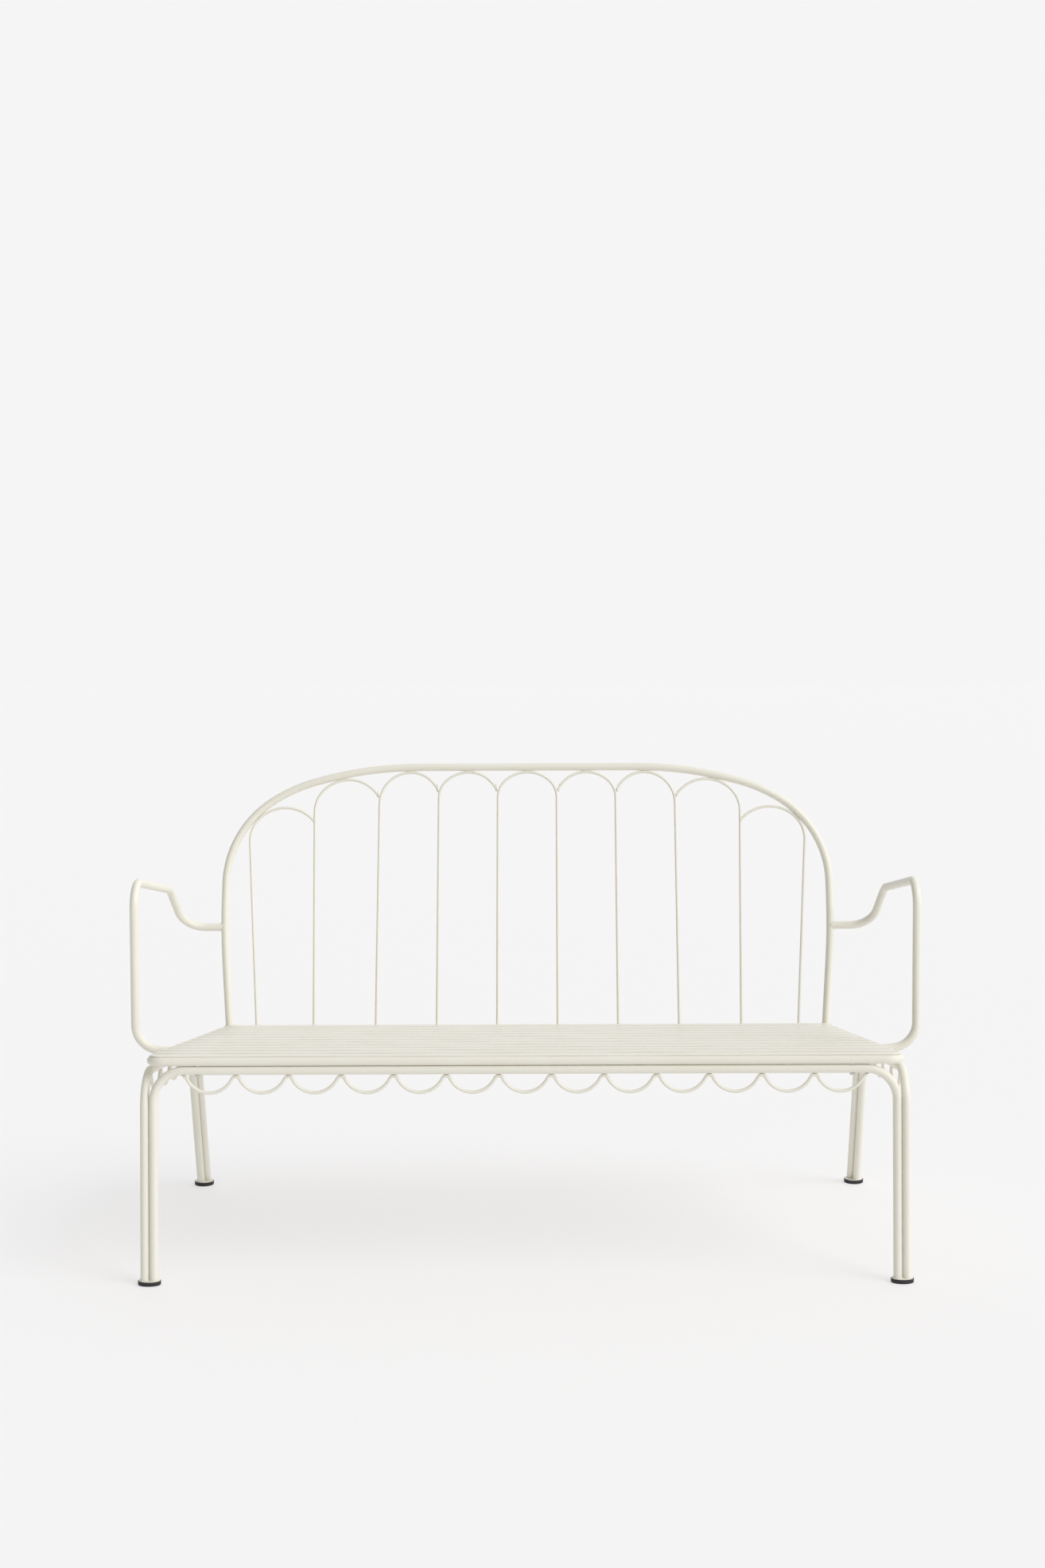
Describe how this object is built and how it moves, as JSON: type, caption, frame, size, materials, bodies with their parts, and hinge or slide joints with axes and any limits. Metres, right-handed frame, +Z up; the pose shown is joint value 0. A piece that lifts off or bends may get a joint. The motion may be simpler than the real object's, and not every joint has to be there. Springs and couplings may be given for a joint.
{
  "type": "garden bench",
  "caption": "Two-seat tubular steel garden bench: slatted sloping seat, arched cane back in a bent hoop, loop arms, scalloped skirts and paired legs on oval feet.",
  "frame": {"origin": "the middle of the overall bounding box, on the ground under the feet", "axes": "+X along the bench to the sitter's left, which is the viewer's right from the front; +Y towards the back; +Z up"},
  "size_m": [1.4032, 0.644, 0.8353],
  "materials": {
    "cream_powder_coat": "satin cream powder coat",
    "black_glide": "moulded black plastic",
    "cream_plastic": "moulded cream plastic",
    "zinc_steel": "bright zinc plate"
  },
  "bodies": {
    "root": {"front_leg_hoop": "cream_powder_coat", "rear_leg_hoop": "cream_powder_coat", "left_leg_hoop": "cream_powder_coat", "right_leg_hoop": "cream_powder_coat", "front_scallop_rod": "cream_powder_coat", "rear_scallop_rod": "cream_powder_coat", "left_scallop_rod": "cream_powder_coat", "right_scallop_rod": "cream_powder_coat", "seat_front_frame": "cream_powder_coat", "seat_rear_rail": "cream_powder_coat", "back_hoop": "cream_powder_coat", "left_arm": "cream_powder_coat", "right_arm": "cream_powder_coat", "back_arch_1": "cream_powder_coat", "back_arch_2": "cream_powder_coat", "back_arch_3": "cream_powder_coat", "back_arch_4": "cream_powder_coat", "back_arch_5": "cream_powder_coat", "back_arch_6": "cream_powder_coat", "back_arch_7": "cream_powder_coat", "back_arch_8": "cream_powder_coat", "back_arch_9": "cream_powder_coat", "slat_01": "cream_powder_coat", "slat_02": "cream_powder_coat", "slat_03": "cream_powder_coat", "slat_04": "cream_powder_coat", "slat_05": "cream_powder_coat", "slat_06": "cream_powder_coat", "slat_07": "cream_powder_coat", "slat_08": "cream_powder_coat", "slat_09": "cream_powder_coat", "slat_10": "cream_powder_coat", "slat_11": "cream_powder_coat", "slat_12": "cream_powder_coat", "left_cross_bar": "cream_powder_coat", "middle_cross_bar": "cream_powder_coat", "right_cross_bar": "cream_powder_coat", "front_left_foot_plate": "cream_powder_coat", "front_right_foot_plate": "cream_powder_coat", "rear_left_foot_plate": "cream_powder_coat", "rear_right_foot_plate": "cream_powder_coat", "front_left_foot_glide": "black_glide", "front_right_foot_glide": "black_glide", "rear_left_foot_glide": "black_glide", "rear_right_foot_glide": "black_glide", "rail_end_plugs": "cream_plastic", "seat_bolts": "zinc_steel", "threaded_inserts": "zinc_steel"}
  },
  "joints": []
}
